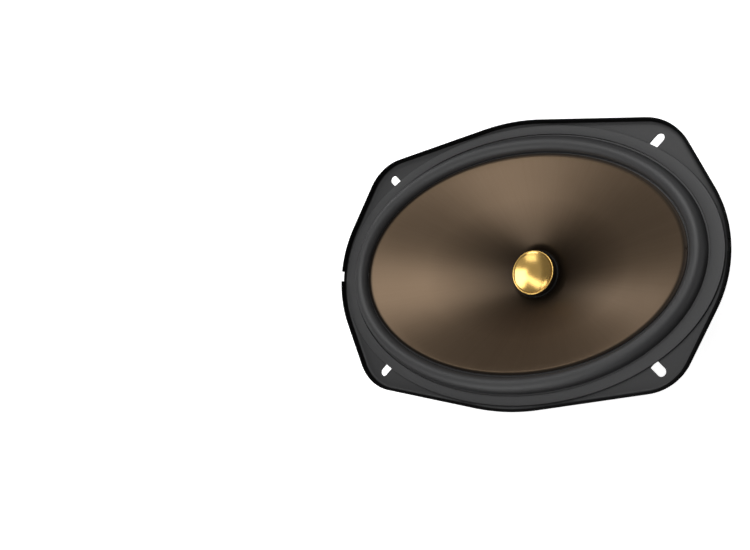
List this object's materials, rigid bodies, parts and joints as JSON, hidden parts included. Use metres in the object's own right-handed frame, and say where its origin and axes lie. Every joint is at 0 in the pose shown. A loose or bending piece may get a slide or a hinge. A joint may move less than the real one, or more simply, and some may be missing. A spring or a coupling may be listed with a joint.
{
  "type": "oval car woofer",
  "caption": "Oval car door or rear-shelf woofer with a stamped frame, rubber surround, brown cone, gold dust cap and a small crossover coil on its side.",
  "frame": {"origin": "centre of the oval on the flange's rear face, which lies against the panel", "axes": "+X along the oval's long axis, +Y along its short axis, +Z out of the front, the way the cone fires; the crossover coil is on the -Y side"},
  "size_m": [0.2372, 0.1648, 0.0782],
  "materials": {
    "frame_steel": "black semi-gloss coating",
    "gasket": "dark grey, fine moulded grain",
    "surround_rubber": "satin black rubber",
    "spider_cloth": "resin-treated woven cloth",
    "plated_steel": "dark zinc plating",
    "ferrite": "fired ferrite, ground faces",
    "rivet_steel": "zinc plated",
    "board": "black laminate",
    "copper": "enamelled copper wire",
    "tie_plastic": "black nylon",
    "terminal_brass": "tinned brass",
    "tinsel": "braided copper tinsel",
    "cone_laminate": "satin bronze-brown laminate",
    "gold_cap": "polished gold-coloured metal",
    "former_aluminium": "thin bright foil",
    "adhesive": "cured black adhesive",
    "solder": "solder"
  },
  "bodies": {
    "chassis": {"basket": "frame_steel", "front_gasket": "gasket", "surround": "surround_rubber", "spider": "spider_cloth", "top_plate": "plated_steel", "magnet": "ferrite", "yoke": "plated_steel", "plate_rivets": "rivet_steel", "crossover_board": "board", "board_screws": "rivet_steel", "inductor_core": "ferrite", "inductor_winding": "copper", "inductor_tie": "tie_plastic", "inductor_leads": "copper", "terminal_positive": "terminal_brass", "terminal_negative": "terminal_brass", "terminal_rivets": "rivet_steel", "tinsel_lead_positive": "tinsel", "tinsel_lead_negative": "tinsel"},
    "cone_assembly": {"cone": "cone_laminate", "dust_cap": "gold_cap", "voice_coil_former": "former_aluminium", "voice_coil": "copper", "neck_adhesive": "adhesive", "lead_joints": "solder"}
  },
  "joints": [
    {"name": "cone_travel", "type": "slide", "parent": "chassis", "child": "cone_assembly", "axis": [0, 0, 1], "range_m": [-0.005, 0.005], "stiffness_N_per_m": 1900, "deforming": ["surround", "spider", "tinsel_lead_positive", "tinsel_lead_negative"]}
  ]
}
